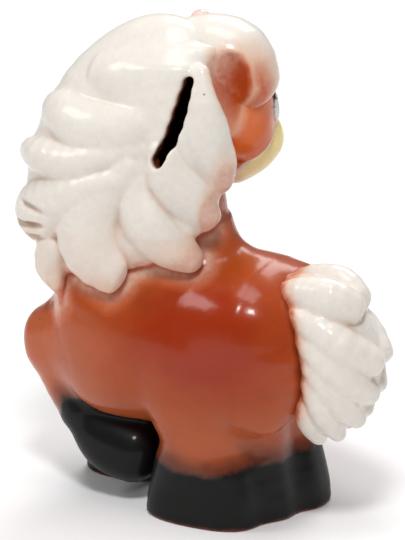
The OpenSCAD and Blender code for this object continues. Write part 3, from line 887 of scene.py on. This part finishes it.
def varnished_clay():
    """The painted colours under a varnish that is glossier on brown and white than on black and bare clay."""
    s = Nodes("varnished_clay")
    where = s.add("ShaderNodeTexCoord").outputs["Object"]
    color = s.add("ShaderNodeAttribute", attribute_name="paint").outputs["Color"]
    dull = s.add("ShaderNodeAttribute", attribute_name="dull").outputs["Fac"]
    spray = s.add("ShaderNodeTexNoise", (("Vector", where), ("Scale", 1400.0), ("Detail", 3.0)))
    shade = s.remap(spray.outputs["Fac"], (0.3, 0.7), (0.97, 1.03))
    tint = s.add("ShaderNodeVectorMath", ((0, color),), operation="SCALE")
    s.t.links.new(shade, tint.inputs["Scale"])
    # small pits where a bubble in the clay broke the paint
    cells = s.add("ShaderNodeTexVoronoi", (("Vector", where), ("Scale", 120.0), ("Randomness", 1.0)))
    chance = s.add("ShaderNodeSeparateColor", (("Color", cells.outputs["Color"]),)).outputs[0]
    few = s.math("GREATER_THAN", chance, 0.9)
    pit = s.math("MULTIPLY", few, s.remap(cells.outputs["Distance"], (0.035, 0.075), (1.0, 0.0)))
    out = s.mix(s.math("MULTIPLY", pit, 0.75), tint.outputs[0], (0.16, 0.035, 0.015, 1))
    s.link(out, "Base Color")
    peel = s.add("ShaderNodeTexNoise", (("Vector", where), ("Scale", 520.0), ("Detail", 2.0), ("Roughness", 0.45)))
    waves = s.add("ShaderNodeTexNoise", (("Vector", where), ("Scale", 90.0), ("Detail", 1.5)))
    relief = s.math("MULTIPLY_ADD", waves.outputs["Fac"], 2.6, peel.outputs["Fac"])
    relief = s.math("MULTIPLY_ADD", pit, -2.0, relief)
    bump = s.add("ShaderNodeBump", (("Height", relief), ("Strength", 0.3), ("Distance", 0.00016)))
    s.link(bump.outputs[0], "Normal")
    s.link(bump.outputs[0], "Coat Normal")
    s.link(s.remap(dull, (0, 1), (0.34, 0.5)), "Roughness")
    s.link(s.remap(dull, (0, 1), (0.5, 0.22)), "Coat Weight")
    s.b.inputs["Coat Roughness"].default_value = 0.15
    s.b.inputs["Specular IOR Level"].default_value = 0.12
    return s.m


def rubber():
    s = Nodes("black_rubber")
    where = s.add("ShaderNodeTexCoord").outputs["Object"]
    dust = s.add("ShaderNodeTexNoise", (("Vector", where), ("Scale", 700.0), ("Detail", 4.0)))
    out = s.mix(dust.outputs["Fac"], (0.012, 0.012, 0.013, 1), (0.05, 0.048, 0.045, 1))
    s.link(out, "Base Color")
    bump = s.add("ShaderNodeBump", (("Height", dust.outputs["Fac"]), ("Strength", 0.4), ("Distance", 0.0001)))
    s.link(bump.outputs[0], "Normal")
    s.b.inputs["Roughness"].default_value = 0.6
    return s.m


clay = varnished_clay()
for name, ob in pieces.items():
    ob.data.materials.append(clay)
    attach(ob, "bank")
    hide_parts(name)


# The stopper: a soft plug with a rounded flange and a finger recess, turned about its own axis.
PROFILE = [(0, -0.9), (5.2, -0.9), (5.9, -1.3), (6.1, -2.3), (6.6, -2.65), (13.2, -2.6), (14.1, -2.1), (14.4, -1.3),
           (14.1, -0.5), (13.3, -0.15), (12.35, -0.1), (12.15, 0.4), (12.15, 9.6), (11.9, 10.4), (10.9, 12.5),
           (10.2, 12.5), (9.5, 11.6), (9.2, 10.6), (9.2, 3.6), (8.6, 3.1), (0, 3.0)]


def lathe(name, profile, steps=96):
    """The profile of radius and height, turned about the hole's tilted axis."""
    bm = bmesh.new()
    rings = []
    for r, h in profile:
        if r == 0:
            rings.append([bm.verts.new((0, 0, h))])
            continue
        rings.append([bm.verts.new((r * math.cos(2 * math.pi * i / steps), r * math.sin(2 * math.pi * i / steps), h))
                      for i in range(steps)])
    for a, b in zip(rings, rings[1:]):
        for i in range(steps):
            j = (i + 1) % steps
            corners = [a[i % len(a)], a[j % len(a)], b[j % len(b)], b[i % len(b)]]
            corners = [v for k, v in enumerate(corners) if v not in corners[:k]]
            bm.faces.new(corners)
    bmesh.ops.recalc_face_normals(bm, faces=bm.faces)
    for f in bm.faces:
        f.smooth = True
    c, q = math.cos(TILT), math.sin(TILT)
    for v in bm.verts:
        x, y, z = v.co
        p = (HOLE_AT + (x, y * c + z * q, z * c - y * q) + SHIFT) / 1000
        v.co = p
    mesh = bpy.data.meshes.new(name)
    bm.to_mesh(mesh)
    bm.free()
    ob = bpy.data.objects.new(name, mesh)
    bpy.context.collection.objects.link(ob)
    return ob


plug = lathe("stopper_rubber", PROFILE)
plug.data.materials.append(rubber())
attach(plug, "stopper")
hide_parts("stopper")


# ---------------------------------------------------------------- stage
floor_mesh = bpy.data.meshes.new("floor")
corners = [(-4, -4, 0), (4, -4, 0), (4, 4, 0), (-4, 4, 0)]
floor_mesh.from_pydata(corners, [], [(0, 1, 2, 3)])
floor = bpy.data.objects.new("floor", floor_mesh)
bpy.context.collection.objects.link(floor)
pale = Nodes("floor_paint")
pale.b.inputs["Base Color"].default_value = (0.95, 0.95, 0.95, 1)
pale.b.inputs["Roughness"].default_value = 0.9
floor.data.materials.append(pale.m)

AZ, EL, DIST = math.radians(208), math.radians(20), 2.5
FOV = math.radians(5.626)
target = np.array([0.0037, 0.00255, 0.1108])
eye = target + DIST * np.array([math.sin(AZ) * math.cos(EL), -math.cos(AZ) * math.cos(EL), math.sin(EL)])
cam = bpy.data.cameras.new("camera")
cam.sensor_fit = "VERTICAL"
cam.sensor_height = 36
cam.lens = cam.sensor_height / 2 / math.tan(FOV / 2)
cam_ob = bpy.data.objects.new("camera", cam)
bpy.context.collection.objects.link(cam_ob)
cam_ob.location = eye
cam_ob.rotation_euler = Vector(target - eye).to_track_quat("-Z", "Y").to_euler()
bpy.context.scene.camera = cam_ob


def area(name, place, size, power):
    """A square light of a size in metres and a power in watts, aimed at the pony's middle."""
    l = bpy.data.lights.new(name, "AREA")
    l.size = size
    l.energy = power
    o = bpy.data.objects.new(name, l)
    bpy.context.collection.objects.link(o)
    o.location = place
    o.rotation_euler = (Vector((0, 0, 0.1)) - Vector(place)).to_track_quat("-Z", "Y").to_euler()


area("key", (-0.45, 0.9, 1.65), 0.33, 16)
area("fill", (1.1, 0.7, 1.1), 0.5, 5)
area("back", (0.2, -1.2, 1.2), 0.8, 12)
area("top", (0, 0, 1.9), 0.75, 9)
world = bpy.data.worlds.new("world")
world.use_nodes = True
world.node_tree.nodes["Background"].inputs[0].default_value = (1, 1, 1, 1)
world.node_tree.nodes["Background"].inputs[1].default_value = 0.22
bpy.context.scene.world = world
bpy.context.scene.view_settings.view_transform = "Standard"
